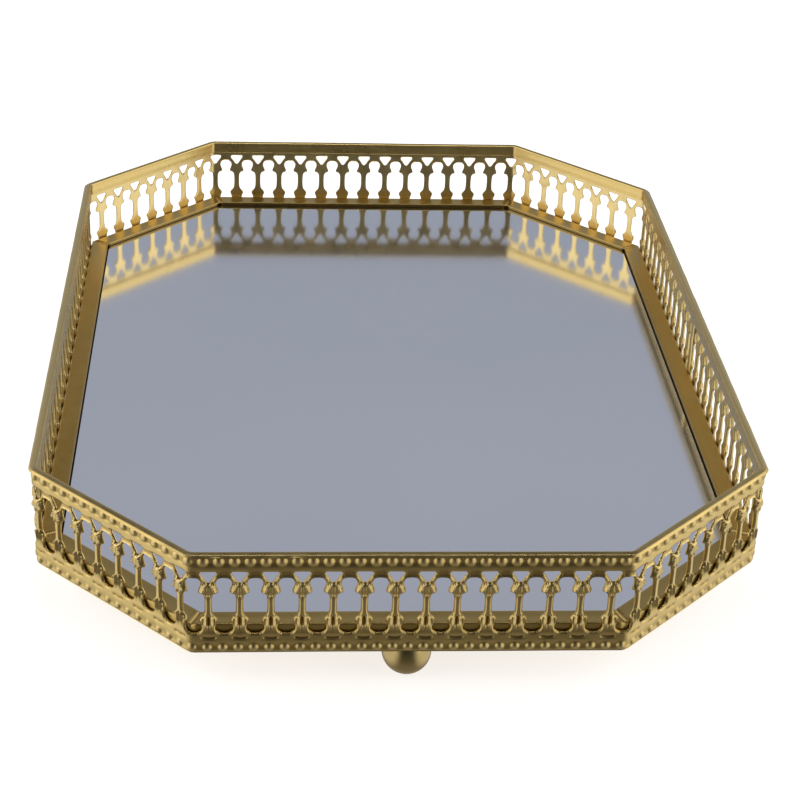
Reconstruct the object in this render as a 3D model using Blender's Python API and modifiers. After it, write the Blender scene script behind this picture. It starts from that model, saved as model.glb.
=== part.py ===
"""Dresser vanity tray: a long octagonal mirror tray with a pierced metal gallery, standing on four ball feet.

Metres, +Z up. The tray stands on z = 0, centred on the Z axis, with its length along Y
and a short side facing -Y.
"""

import math

import bmesh
import bpy
from mathutils import Matrix, Vector

# Plan of the tray, over the top rim's outer faces
TRAY_WIDTH = 0.210
TRAY_LENGTH = 0.300
CHAMFER_LEG = 0.0454

# Every two neighbouring pieces keep this much room
CLEARANCE = 0.0003

# Gallery strip, with heights counted from the strip's bottom edge
STRIP_HEIGHT = 0.0308
STRIP_THICKNESS = 0.0010
ARCH_PITCH = 0.0083
SHAFT_WIDTH = 0.0018
HEAD_WIDTH = 0.0049
FORK_TOP_WIDTH = 0.0042
FORK_FOOT_WIDTH = 0.0016
ARCH_BOTTOM = 0.0064
LOWER_SHOULDER = 0.0116
SHAFT_BOTTOM = 0.0130
SHAFT_TOP = 0.0192
UPPER_SHOULDER = 0.0206
ARCH_TOP = 0.0240
FORK_BOTTOM = 0.0224
FORK_TOP = 0.0260
ARCH_FOOT_CUT = 0.0007
ARCH_CROWN_CUT = 0.0012

# Lapped joint of the strip's two ends
LAP_WIDTH = 0.0042
LAP_THICKNESS = 0.0005

# Top rim, a folded channel that hooks over the strip
RIM_WALL = 0.0005
RIM_ROUND = 0.0009
RIM_LIP = 0.0021
RIM_DEPTH = 0.0043

# Mitred frame round the mirror
FRAME_SHEET = 0.0005
FRAME_REACH = 0.0080
FRAME_HEM = 0.0017
FRAME_STEP = 0.0014

# Floor, board and mirror, from the bottom up
FLOOR_RISE = 0.0015
FLOOR_SHEET = 0.0006
BOARD_THICKNESS = 0.0016
MIRROR_THICKNESS = 0.0030

# Ball feet with their screws and washers
FOOT_RADIUS = 0.0069
FOOT_FLAT_RADIUS = 0.0015
FOOT_SEAT_RADIUS = 0.0045
FOOT_SEAT_HEIGHT = 0.0008
FOOT_INSET = 0.0094
SCREW_RADIUS = 0.0015
SCREW_HEAD_RADIUS = 0.0028
SCREW_HEAD_HEIGHT = 0.0009
SCREW_REACH = 0.0060
WASHER_RADIUS = 0.0045
WASHER_THICKNESS = 0.0004

ROUND_STEPS = 20
HOLE_STEPS = 16

SIDE_NAMES = (
    "front",
    "front_right",
    "right",
    "back_right",
    "back",
    "back_left",
    "left",
    "front_left",
)
CORNER_COUNT = len(SIDE_NAMES)
LAP_SIDE = "right"

# Heights above the surface that the tray stands on
ball_center = math.sqrt(FOOT_RADIUS**2 - FOOT_FLAT_RADIUS**2)
seat_bottom = ball_center + math.sqrt(FOOT_RADIUS**2 - FOOT_SEAT_RADIUS**2)
foot_top = seat_bottom + FOOT_SEAT_HEIGHT
floor_bottom = foot_top + CLEARANCE
strip_bottom = floor_bottom - FLOOR_RISE
strip_top = strip_bottom + STRIP_HEIGHT
rim_top = strip_top + CLEARANCE + RIM_WALL
floor_top = floor_bottom + FLOOR_SHEET
board_bottom = floor_top + CLEARANCE
board_top = board_bottom + BOARD_THICKNESS
mirror_bottom = board_top + CLEARANCE
mirror_top = mirror_bottom + MIRROR_THICKNESS
frame_top = mirror_top + FRAME_STEP

# Insets from the rim's outer faces
strip_outer = RIM_WALL + CLEARANCE
strip_inner = strip_outer + STRIP_THICKNESS
inner_face = strip_inner + CLEARANCE
rim_width = inner_face + RIM_WALL
floor_inset = inner_face + FRAME_SHEET + CLEARANCE
mirror_inset = FRAME_REACH + CLEARANCE


def clear_scene():
    for old_object in list(bpy.data.objects):
        bpy.data.objects.remove(old_object, do_unlink=True)


def make_material(name, color, roughness, metallic):
    material = bpy.data.materials.new(name)
    material.use_nodes = True
    shader = material.node_tree.nodes["Principled BSDF"]
    shader.inputs["Base Color"].default_value = (*color, 1.0)
    shader.inputs["Roughness"].default_value = roughness
    shader.inputs["Metallic"].default_value = metallic
    material.diffuse_color = (*color, 1.0)
    return material


def tray_corners(inset):
    """The eight corners of the plan, counter-clockwise from the front side's left end, moved in by inset."""
    half_width = TRAY_WIDTH / 2 - inset
    half_length = TRAY_LENGTH / 2 - inset
    leg = CHAMFER_LEG - inset * (2 - math.sqrt(2))
    half_front = half_width - leg
    half_side = half_length - leg
    return [
        Vector((-half_front, -half_length, 0)),
        Vector((half_front, -half_length, 0)),
        Vector((half_width, -half_side, 0)),
        Vector((half_width, half_side, 0)),
        Vector((half_front, half_length, 0)),
        Vector((-half_front, half_length, 0)),
        Vector((-half_width, half_side, 0)),
        Vector((-half_width, -half_side, 0)),
    ]


def side_frame(side, inset):
    """Start corner, direction, outward normal and length of one side of the plan."""
    corners = tray_corners(inset)
    start = corners[side]
    run = corners[(side + 1) % CORNER_COUNT] - start
    direction = run.normalized()
    outward = Vector((direction.y, -direction.x, 0))
    return start, direction, outward, run.length


def mitred_sections(side, section):
    """A section of (inset, height) points set on both mitre planes of a side, each pulled back by half a gap."""
    bend = math.pi / CORNER_COUNT
    pull_back = CLEARANCE / 2 / math.cos(bend)
    near = []
    far = []
    for inset, height in section:
        start, direction, _, length = side_frame(side, inset)
        lift = Vector((0, 0, height))
        near.append(start + direction * pull_back + lift)
        far.append(start + direction * (length - pull_back) + lift)
    return [near, far]


def add_object(name, data, collection, material):
    new_object = bpy.data.objects.new(name, data)
    data.materials.append(material)
    collection.objects.link(new_object)
    return new_object


def loft(name, sections, closed, collection, material):
    """Joins sections of equal point count in order, and caps the first and last unless the loft closes."""
    build = bmesh.new()
    rings = [[build.verts.new(point) for point in section] for section in sections]
    following = rings[1:] + rings[:1] if closed else rings[1:]
    for near, far in zip(rings, following):
        for index in range(len(near)):
            after = (index + 1) % len(near)
            build.faces.new((near[index], near[after], far[after], far[index]))
    if not closed:
        build.faces.new(rings[0])
        build.faces.new(rings[-1])
    bmesh.ops.recalc_face_normals(build, faces=build.faces)
    mesh = bpy.data.meshes.new(name)
    build.to_mesh(mesh)
    build.free()
    return add_object(name, mesh, collection, material)


def flat_outline(name, outlines, thickness, collection, material):
    """A 2D curve of closed outlines, the first one outside and the others holes, with a thickness along Z."""
    curve = bpy.data.curves.new(name, "CURVE")
    curve.dimensions = "2D"
    curve.fill_mode = "BOTH"
    curve.extrude = thickness / 2
    for outline in outlines:
        spline = curve.splines.new("POLY")
        spline.points.add(len(outline) - 1)
        for point, place in zip(spline.points, outline):
            point.co = (place[0], place[1], 0, 1)
        spline.use_cyclic_u = True
    return add_object(name, curve, collection, material)


def curve_to_mesh(curve_object, collection, material):
    """Replaces a curve object by a mesh object of the same name and place, with its caps welded on."""
    bpy.context.view_layer.update()
    graph = bpy.context.evaluated_depsgraph_get()
    mesh = bpy.data.meshes.new_from_object(curve_object.evaluated_get(graph))
    build = bmesh.new()
    build.from_mesh(mesh)
    bmesh.ops.remove_doubles(build, verts=build.verts, dist=0.00001)
    bmesh.ops.recalc_face_normals(build, faces=build.faces)
    build.to_mesh(mesh)
    build.free()
    name = curve_object.name
    place = curve_object.matrix_world.copy()
    bpy.data.objects.remove(curve_object, do_unlink=True)
    mesh.materials.clear()
    mesh_object = add_object(name, mesh, collection, material)
    mesh_object.matrix_world = place
    return mesh_object


def turned(name, profile, place, collection, material):
    """A profile of (radius, height) points, running down its outer side, turned about the Z axis."""
    mesh = bpy.data.meshes.new(name)
    points = [(radius, 0, height) for radius, height in profile]
    edges = [(index, index + 1) for index in range(len(points) - 1)]
    mesh.from_pydata(points, edges, [])
    turned_object = add_object(name, mesh, collection, material)
    turned_object.location = place
    screw = turned_object.modifiers.new("turn", "SCREW")
    screw.steps = ROUND_STEPS
    screw.render_steps = ROUND_STEPS
    screw.use_merge_vertices = True
    screw.merge_threshold = 0.00001
    screw.use_smooth_shade = True
    return turned_object


def circle_points(center, radius):
    turns = [2 * math.pi * step / HOLE_STEPS for step in range(HOLE_STEPS)]
    return [(center[0] + radius * math.cos(turn), center[1] + radius * math.sin(turn)) for turn in turns]


def arch_opening(center, pitch):
    """Outline of the opening between two balusters: a wide middle with a narrow neck below and above it."""
    half_neck = (pitch - HEAD_WIDTH) / 2
    half_wide = (pitch - SHAFT_WIDTH) / 2
    right_side = [
        (half_neck - ARCH_FOOT_CUT, ARCH_BOTTOM),
        (half_neck, ARCH_BOTTOM + ARCH_FOOT_CUT),
        (half_neck, LOWER_SHOULDER),
        (half_wide, SHAFT_BOTTOM),
        (half_wide, SHAFT_TOP),
        (half_neck, UPPER_SHOULDER),
        (half_neck, ARCH_TOP - ARCH_CROWN_CUT),
        (half_neck - ARCH_CROWN_CUT, ARCH_TOP),
    ]
    left_side = [(-across, height) for across, height in reversed(right_side)]
    return [(center + across, height) for across, height in right_side + left_side]


def fork_opening(center):
    """Outline of the small opening between the two arms above a baluster's head."""
    half_top = FORK_TOP_WIDTH / 2
    half_foot = FORK_FOOT_WIDTH / 2
    return [
        (center - half_foot, FORK_BOTTOM),
        (center + half_foot, FORK_BOTTOM),
        (center + half_top, FORK_TOP),
        (center - half_top, FORK_TOP),
    ]


def strip_pattern():
    """The real pitch of the arches, and the distance along the strip at which each side starts.

    The distance is counted from the middle of the front side, where an arch opening is centred.
    """
    lengths = [side_frame(side, strip_outer)[3] for side in range(CORNER_COUNT)]
    perimeter = sum(lengths)
    pitch = perimeter / round(perimeter / ARCH_PITCH)
    starts = [-lengths[0] / 2]
    for length in lengths[:-1]:
        starts.append(starts[-1] + length)
    return pitch, starts


def make_gallery(parts, cutters, material):
    """Eight flat panels, mitred at the bends, with the arch and fork openings cut through them."""
    pitch, starts = strip_pattern()
    middle = (strip_outer + strip_inner) / 2
    section = [
        (strip_outer, strip_bottom),
        (strip_inner, strip_bottom),
        (strip_inner, strip_top),
        (strip_outer, strip_top),
    ]
    for side, side_name in enumerate(SIDE_NAMES):
        panel = loft(f"gallery_{side_name}", mitred_sections(side, section), False, parts, material)
        corner, direction, outward, length = side_frame(side, strip_outer)
        first = math.ceil((starts[side] - pitch) / pitch)
        last = math.floor((starts[side] + length + pitch) / pitch)
        outlines = []
        for index in range(first, last + 1):
            arch_center = index * pitch - starts[side]
            outlines.append(arch_opening(arch_center, pitch))
            outlines.append(fork_opening(arch_center + pitch / 2))
        cutter = flat_outline(f"openings_{side_name}", outlines, 3 * STRIP_THICKNESS, cutters, material)
        place = Matrix((direction, Vector((0, 0, 1)), outward)).transposed().to_4x4()
        place.translation = corner - outward * (middle - strip_outer) + Vector((0, 0, strip_bottom))
        cutter.matrix_world = place
        cutter = curve_to_mesh(cutter, cutters, material)
        cutter.hide_render = True
        cutter.display_type = "WIRE"
        cut = panel.modifiers.new("openings", "BOOLEAN")
        cut.operation = "DIFFERENCE"
        cut.solver = "EXACT"
        cut.object = cutter


def make_lap(parts, material):
    """The doubled stretch where the strip's ends lap, on the inner face in the middle of one long side."""
    side = SIDE_NAMES.index(LAP_SIDE)
    start, direction, outward, length = side_frame(side, inner_face)
    low = frame_top + CLEARANCE
    high = rim_top - RIM_DEPTH - CLEARANCE
    center = start + direction * (length / 2) - outward * (LAP_THICKNESS / 2)
    center.z = (low + high) / 2
    build = bmesh.new()
    bmesh.ops.create_cube(build, size=1)
    size = Matrix.Diagonal((LAP_THICKNESS, LAP_WIDTH, high - low, 1))
    bmesh.ops.transform(build, matrix=size, verts=build.verts)
    mesh = bpy.data.meshes.new("gallery_lap")
    build.to_mesh(mesh)
    build.free()
    lap = add_object("gallery_lap", mesh, parts, material)
    lap.location = center


def make_rim(parts, material):
    """One channel bent round all eight corners, with a short lip outside and a long leg inside."""
    arc_turns = [math.pi / 2 * step / 3 for step in range(4)]
    section = [(0, rim_top - RIM_LIP)]
    for turn in arc_turns:
        inset = RIM_ROUND * (1 - math.cos(turn))
        section.append((inset, rim_top - RIM_ROUND * (1 - math.sin(turn))))
    for turn in reversed(arc_turns):
        inset = rim_width - RIM_ROUND * (1 - math.cos(turn))
        section.append((inset, rim_top - RIM_ROUND * (1 - math.sin(turn))))
    section += [
        (rim_width, rim_top - RIM_DEPTH),
        (rim_width - RIM_WALL, rim_top - RIM_DEPTH),
        (rim_width - RIM_WALL, rim_top - RIM_WALL),
        (RIM_WALL, rim_top - RIM_WALL),
        (RIM_WALL, rim_top - RIM_LIP),
    ]
    outlines = [tray_corners(inset) for inset, _ in section]
    sections = []
    for corner in range(CORNER_COUNT):
        heights = [Vector((0, 0, height)) for _, height in section]
        sections.append([outline[corner] + height for outline, height in zip(outlines, heights)])
    loft("top_rim", sections, True, parts, material)


def make_frame(parts, material):
    """Eight mitred lengths of folded sheet: a flat top, a long outer leg and a short hem at the mirror."""
    section = [
        (inner_face, floor_bottom),
        (inner_face, frame_top),
        (FRAME_REACH, frame_top),
        (FRAME_REACH, frame_top - FRAME_HEM),
        (FRAME_REACH - FRAME_SHEET, frame_top - FRAME_HEM),
        (FRAME_REACH - FRAME_SHEET, frame_top - FRAME_SHEET),
        (inner_face + FRAME_SHEET, frame_top - FRAME_SHEET),
        (inner_face + FRAME_SHEET, floor_bottom),
    ]
    for side, side_name in enumerate(SIDE_NAMES):
        loft(f"frame_{side_name}", mitred_sections(side, section), False, parts, material)


def foot_places():
    """Where the four feet stand: the middle of each straight side, moved in."""
    across = TRAY_WIDTH / 2 - FOOT_INSET
    along = TRAY_LENGTH / 2 - FOOT_INSET
    return {"front": (0, -along), "right": (across, 0), "back": (0, along), "left": (-across, 0)}


def make_plates(parts, sheet_material, board_material, mirror_material):
    places = foot_places().values()
    floor_holes = [circle_points(place, SCREW_RADIUS + CLEARANCE) for place in places]
    floor_outlines = [tray_corners(floor_inset)] + floor_holes
    floor = flat_outline("floor_plate", floor_outlines, FLOOR_SHEET, parts, sheet_material)
    floor.location.z = (floor_bottom + floor_top) / 2
    board_holes = [circle_points(place, WASHER_RADIUS + CLEARANCE) for place in places]
    board_outlines = [tray_corners(floor_inset)] + board_holes
    board = flat_outline("backing_board", board_outlines, BOARD_THICKNESS, parts, board_material)
    board.location.z = (board_bottom + board_top) / 2
    mirror_outlines = [tray_corners(mirror_inset)]
    mirror = flat_outline("mirror_glass", mirror_outlines, MIRROR_THICKNESS, parts, mirror_material)
    mirror.location.z = (mirror_bottom + mirror_top) / 2


def foot_profile():
    """A ball with a round seat under the floor plate, a blind bore for its screw and a small flat to stand on."""
    bore_radius = SCREW_RADIUS + CLEARANCE
    bore_bottom = floor_bottom - SCREW_REACH - CLEARANCE
    top_turn = math.acos(FOOT_SEAT_RADIUS / FOOT_RADIUS)
    flat_turn = -math.acos(FOOT_FLAT_RADIUS / FOOT_RADIUS)
    profile = [
        (0, bore_bottom),
        (bore_radius, bore_bottom),
        (bore_radius, foot_top),
        (FOOT_SEAT_RADIUS, foot_top),
    ]
    arc_steps = 9
    for step in range(arc_steps + 1):
        turn = top_turn + (flat_turn - top_turn) * step / arc_steps
        profile.append((FOOT_RADIUS * math.cos(turn), ball_center + FOOT_RADIUS * math.sin(turn)))
    profile[-1] = (FOOT_FLAT_RADIUS, 0)
    profile.append((0, 0))
    return profile


def make_feet(parts, foot_material, screw_material):
    washer_bottom = floor_top + CLEARANCE
    washer_top = washer_bottom + WASHER_THICKNESS
    washer_bore = SCREW_RADIUS + CLEARANCE
    head_bottom = washer_top + CLEARANCE
    head_top = head_bottom + SCREW_HEAD_HEIGHT
    head_edge = head_bottom + SCREW_HEAD_HEIGHT / 2
    shank_bottom = floor_bottom - SCREW_REACH
    screw_profile = [
        (0, head_top),
        (SCREW_HEAD_RADIUS * 0.6, head_top),
        (SCREW_HEAD_RADIUS, head_edge),
        (SCREW_HEAD_RADIUS, head_bottom),
        (SCREW_RADIUS, head_bottom),
        (SCREW_RADIUS, shank_bottom),
        (0, shank_bottom),
    ]
    washer_profile = [
        (washer_bore, washer_bottom),
        (washer_bore, washer_top),
        (WASHER_RADIUS, washer_top),
        (WASHER_RADIUS, washer_bottom),
        (washer_bore, washer_bottom),
    ]
    for side_name, (x, y) in foot_places().items():
        place = Vector((x, y, 0))
        turned(f"foot_{side_name}", foot_profile(), place, parts, foot_material)
        turned(f"foot_screw_{side_name}", screw_profile, place, parts, screw_material)
        turned(f"foot_washer_{side_name}", washer_profile, place, parts, screw_material)


def make_tray():
    clear_scene()
    parts = bpy.data.collections.new("dresser_vanity_tray")
    cutters = bpy.data.collections.new("cutters")
    bpy.context.scene.collection.children.link(parts)
    bpy.context.scene.collection.children.link(cutters)
    gallery_gold = make_material("gallery_gold", (0.62, 0.47, 0.24), 0.38, 1.0)
    rim_gold = make_material("rim_gold", (0.78, 0.66, 0.42), 0.32, 1.0)
    frame_gold = make_material("frame_gold", (0.58, 0.42, 0.19), 0.42, 1.0)
    foot_gold = make_material("foot_gold", (0.66, 0.50, 0.27), 0.30, 1.0)
    floor_gold = make_material("floor_gold", (0.55, 0.41, 0.20), 0.45, 1.0)
    mirror_silver = make_material("mirror_silver", (0.72, 0.76, 0.84), 0.03, 1.0)
    board_brown = make_material("board_brown", (0.30, 0.20, 0.12), 0.85, 0.0)
    screw_steel = make_material("screw_steel", (0.60, 0.60, 0.60), 0.35, 1.0)
    make_gallery(parts, cutters, gallery_gold)
    make_lap(parts, gallery_gold)
    make_rim(parts, rim_gold)
    make_frame(parts, frame_gold)
    make_plates(parts, floor_gold, board_brown, mirror_silver)
    make_feet(parts, foot_gold, screw_steel)


make_tray()
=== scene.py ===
import math

import bmesh
import bpy
import numpy as np
from mathutils import Matrix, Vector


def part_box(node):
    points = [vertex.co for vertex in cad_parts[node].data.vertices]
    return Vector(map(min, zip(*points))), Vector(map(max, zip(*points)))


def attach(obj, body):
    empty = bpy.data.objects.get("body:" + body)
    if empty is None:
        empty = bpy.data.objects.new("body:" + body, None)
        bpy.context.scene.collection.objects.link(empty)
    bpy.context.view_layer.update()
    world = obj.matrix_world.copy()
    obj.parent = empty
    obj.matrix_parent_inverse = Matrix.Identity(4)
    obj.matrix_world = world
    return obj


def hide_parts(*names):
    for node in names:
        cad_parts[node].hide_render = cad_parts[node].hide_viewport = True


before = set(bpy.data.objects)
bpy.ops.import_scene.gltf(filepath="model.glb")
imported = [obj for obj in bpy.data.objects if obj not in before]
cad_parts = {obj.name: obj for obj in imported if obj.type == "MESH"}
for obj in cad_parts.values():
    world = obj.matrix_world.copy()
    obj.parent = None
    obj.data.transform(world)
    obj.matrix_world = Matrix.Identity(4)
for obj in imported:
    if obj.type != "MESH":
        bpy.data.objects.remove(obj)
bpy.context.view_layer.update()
print("frame loaded:", len(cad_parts), "nodes")

mm = 0.001
sides = ["front", "front_right", "right", "back_right", "back", "back_left", "left", "front_left"]
bend = math.pi / 4        # each corner turns the wall by this much


def nodePoints(name):
    # all vertices of a frame node as rows of x, y, z
    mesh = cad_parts[name].data
    points = np.empty(len(mesh.vertices) * 3)
    mesh.vertices.foreach_get("co", points)
    return points.reshape(-1, 3)


def readTray():
    # the sizes that every piece is built from, taken off the frame's own boxes
    rimLow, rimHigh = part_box("top_rim")
    stripLow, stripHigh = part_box("gallery_front")
    frameLow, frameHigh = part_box("frame_front")
    glassLow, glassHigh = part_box("mirror_glass")
    rim = nodePoints("top_rim")
    frontEdge = rim[np.abs(rim[:, 1] - rimLow.y) < 0.01 * mm]
    return {
        "halfWidth": rimHigh.x,
        "halfLength": rimHigh.y,
        "cutLeg": rimHigh.x - frontEdge[:, 0].max(),      # how far each corner is cut back along a side
        "rimTop": rimHigh.z,
        "rimFoot": rimLow.z,
        "rimWidth": 2.6 * mm,
        "stripFoot": stripLow.z,
        "stripTop": stripHigh.z,
        "frameFoot": frameLow.z,
        "frameTop": frameHigh.z,
        "frameOuter": frameLow.y - rimLow.y,
        "frameInner": frameHigh.y - rimLow.y,
        "glassInset": glassLow.y - rimLow.y,
        "glassFoot": glassLow.z,
        "glassTop": glassHigh.z,
    }


tray = readTray()


def planCorners(inset):
    # the eight corners of the plan, counter-clockwise from the front side's left end, moved in by inset
    halfWidth = tray["halfWidth"] - inset
    halfLength = tray["halfLength"] - inset
    leg = tray["cutLeg"] - inset * (2 - math.sqrt(2))
    front = halfWidth - leg
    side = halfLength - leg
    return np.array([
        [-front, -halfLength], [front, -halfLength], [halfWidth, -side], [halfWidth, side],
        [front, halfLength], [-front, halfLength], [-halfWidth, side], [-halfWidth, -side],
    ])


wallPath = {
    "inset": 1.3 * mm,        # base line of the wall, in from the rim's outer face
    "bendRadius": 3.4 * mm,   # radius of that line at the corners
}


def measurePath():
    # starts and lengths of the eight straights and eight arcs of the base line
    corners = planCorners(wallPath["inset"])
    runs = np.roll(corners, -1, axis=0) - corners
    sideLengths = np.linalg.norm(runs, axis=1)
    cut = wallPath["bendRadius"] * math.tan(bend / 2)
    lengths = np.empty(16)
    lengths[0::2] = sideLengths - 2 * cut
    lengths[1::2] = wallPath["bendRadius"] * bend
    starts = -lengths[0] / 2 + np.concatenate([[0], np.cumsum(lengths)[:-1]])
    return {"corners": corners, "cut": cut, "lengths": lengths, "starts": starts, "total": lengths.sum()}


path = measurePath()


def alongWall(distance, outward):
    # point of the rounded octagon at a distance along its base line, then moved across it:
    # a straight runs from its start corner, an arc turns about its own centre, and both give
    # position + outward normal * outward
    wrapped = (distance - path["starts"][0]) % path["total"] + path["starts"][0]
    piece = np.clip(np.searchsorted(path["starts"], wrapped, side="right") - 1, 0, 15)
    side = piece // 2
    local = wrapped - path["starts"][piece]
    heading = side * bend
    isArc = piece % 2 == 1
    directionX = np.cos(heading)
    directionY = np.sin(heading)
    startX = path["corners"][side, 0] + directionX * path["cut"]
    startY = path["corners"][side, 1] + directionY * path["cut"]
    straightX = startX + directionX * local
    straightY = startY + directionY * local
    radius = wallPath["bendRadius"]
    endX = startX + directionX * path["lengths"][side * 2]
    endY = startY + directionY * path["lengths"][side * 2]
    centerX = endX - directionY * radius
    centerY = endY + directionX * radius
    turned = heading + np.where(isArc, local / radius, 0)
    arcX = centerX + radius * np.sin(turned)
    arcY = centerY - radius * np.cos(turned)
    x = np.where(isArc, arcX, straightX) + np.sin(turned) * outward
    y = np.where(isArc, arcY, straightY) - np.cos(turned) * outward
    return x, y


def wobble(along, seed, waves, longest, shortest):
    # a sum of sines of random phase and of wavelengths between the two given, of about unit height
    dice = np.random.default_rng(seed)
    total = np.zeros_like(along)
    for length in dice.uniform(shortest, longest, waves):
        total = total + np.sin(2 * math.pi * along / length + dice.uniform(0, 2 * math.pi))
    return total / math.sqrt(waves)


def smoothStep(low, high, value):
    # 0 below low, 1 above high and t * t * (3 - 2t) between, where t is the share of the way
    t = np.clip((value - low) / (high - low), 0, 1)
    return t * t * (3 - 2 * t)


def bell(value, width):
    # e to the minus (value / width) squared
    return np.exp(-(value / width) ** 2)


def newPiece(name, points, faces, material, attributes=None):
    # a mesh object from an array of points and one of equal-sized or mixed faces, shaded smooth
    mesh = bpy.data.meshes.new(name)
    sizes = np.array([face.shape[1] for face in faces for _ in range(len(face))], dtype=np.int32)
    corners = np.concatenate([face.ravel() for face in faces]).astype(np.int32)
    starts = np.concatenate([[0], np.cumsum(sizes)[:-1]]).astype(np.int32)
    mesh.vertices.add(len(points))
    mesh.loops.add(len(corners))
    mesh.polygons.add(len(sizes))
    mesh.vertices.foreach_set("co", np.ascontiguousarray(points, dtype=np.float32).ravel())
    mesh.loops.foreach_set("vertex_index", corners)
    mesh.polygons.foreach_set("loop_start", starts)
    mesh.update(calc_edges=True)
    mesh.validate()
    for key, values in (attributes or {}).items():
        layer = mesh.attributes.new(key, "FLOAT", "POINT")
        layer.data.foreach_set("value", np.asarray(values, dtype=np.float32).ravel())
    mesh.shade_smooth()
    mesh.materials.append(material)
    piece = bpy.data.objects.new(name, mesh)
    bpy.context.scene.collection.objects.link(piece)
    return piece


def placePiece(piece, slotName, *nodes):
    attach(piece, "root")
    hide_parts(*nodes)
    return piece


def gridFaces(columns, rows, closeColumns=False, closeRows=False):
    # quads of a grid whose point (column, row) has the number column * rows + row
    column = np.arange(columns if closeColumns else columns - 1)
    row = np.arange(rows if closeRows else rows - 1)
    columnGrid, rowGrid = np.meshgrid(column, row, indexing="ij")
    nextColumn = (columnGrid + 1) % columns
    nextRow = (rowGrid + 1) % rows
    quads = [columnGrid * rows + rowGrid, nextColumn * rows + rowGrid,
             nextColumn * rows + nextRow, columnGrid * rows + nextRow]
    return np.stack(quads, axis=-1).reshape(-1, 4)


def thicken(piece, thickness):
    wall = piece.modifiers.new("sheet", "SOLIDIFY")
    wall.thickness = thickness
    wall.offset = -1
    wall.use_rim = True


def nodeMaker(material):
    tree = material.node_tree

    def add(kind, **settings):
        node = tree.nodes.new(kind)
        for key, value in settings.items():
            if key.startswith("in_"):
                node.inputs[key[3:].replace("_", " ")].default_value = value
            else:
                setattr(node, key, value)
        return node

    def link(output, target):
        tree.links.new(output, target)

    return add, link


def ramp(add, link, source, stops):
    # a color ramp over source, its stops given as (place, color)
    node = add("ShaderNodeValToRGB")
    elements = node.color_ramp.elements
    while len(elements) < len(stops):
        elements.new(0.5)
    for element, (place, color) in zip(elements, stops):
        element.position = place
        element.color = (*color, 1)
    link(source, node.inputs["Fac"])
    return node.outputs["Color"]


def noise(add, link, vector, scale, detail=3.0, roughness=0.55):
    node = add("ShaderNodeTexNoise", in_Scale=scale, in_Detail=detail, in_Roughness=roughness)
    link(vector, node.inputs["Vector"])
    return node.outputs["Fac"]


def mixColor(add, link, factor, first, second, blend="MIX"):
    # first and second are colors or sockets, and so is factor
    node = add("ShaderNodeMix", data_type="RGBA", blend_type=blend)
    for socket, value in ((node.inputs[0], factor), (node.inputs[6], first), (node.inputs[7], second)):
        if isinstance(value, (int, float)):
            socket.default_value = value
        elif isinstance(value, tuple):
            socket.default_value = (*value, 1)
        else:
            link(value, socket)
    return node.outputs[2]


def shaped(add, link, source, low, high, toLow, toHigh):
    node = add("ShaderNodeMapRange")
    node.inputs["From Min"].default_value = low
    node.inputs["From Max"].default_value = high
    node.inputs["To Min"].default_value = toLow
    node.inputs["To Max"].default_value = toHigh
    link(source, node.inputs["Value"])
    return node.outputs["Result"]


def mathNode(add, link, operation, first, second):
    node = add("ShaderNodeMath", operation=operation)
    for socket, value in ((node.inputs[0], first), (node.inputs[1], second)):
        if isinstance(value, (int, float)):
            socket.default_value = value
        else:
            link(value, socket)
    return node.outputs[0]


def startMaterial(name):
    material = bpy.data.materials.new(name)
    material.use_nodes = True
    shader = material.node_tree.nodes["Principled BSDF"]
    add, link = nodeMaker(material)
    vector = add("ShaderNodeTexCoord").outputs["Object"]
    return material, shader, add, link, vector


goldFinishes = {
    # body: satin color, deep: darker tone of the clouds and, where the relief value is low, of patina and
    # painted shade,
    # pale: paler tone of the mottle and, where the relief value is high, of wear from rubbing and painted
    # highlight
    "gallery": {"body": (0.70, 0.53, 0.21), "deep": (0.32, 0.21, 0.06), "pale": (0.76, 0.60, 0.29),
                "rough": (0.28, 0.38), "grain": 0.012},
    "rim": {"body": (0.70, 0.52, 0.20), "deep": (0.46, 0.32, 0.10), "pale": (0.83, 0.69, 0.36),
            "rough": (0.26, 0.34), "grain": 0.004},
    "flange": {"body": (0.62, 0.44, 0.14), "deep": (0.17, 0.11, 0.035), "pale": (0.72, 0.55, 0.27),
               "rough": (0.30, 0.40), "grain": 0.012},
    "foot": {"body": (0.52, 0.40, 0.17), "deep": (0.26, 0.21, 0.10), "pale": (0.66, 0.53, 0.29),
             "rough": (0.22, 0.32), "grain": 0.010},
}


goldTexture = {
    # noise as scale, detail and roughness; a shaping as from, to, then what they become
    "clouds": (30.0, 3.0, 0.5), "mottle": (260.0, 2.0, 0.5), "grain": (2200.0, 1.0, 0.5),
    "specks": (120.0, 4.0, 0.6), "speckFrom": (0.66, 0.76), "speckColor": (0.16, 0.13, 0.055),
    "cloudDeep": (0.35, 0.65, 0.14, 0.0), "mottlePale": (0.45, 0.75, 0.0, 0.22),
    # the next two shapings paint low relief values darker, as patina and painted shade, and high ones paler,
    # as wear from rubbing and painted highlight
    "patinaAndShade": (0.05, 0.42, 0.85, 0.0), "paleWearAndHighlight": (0.62, 0.95, 0.0, 0.7),
    "cloudRough": (0.3, 0.7, 0.9, 1.1), "mottleRough": (0.3, 0.75),
    "mottleBump": 2.0, "bumpStrength": 0.5,
}


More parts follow.
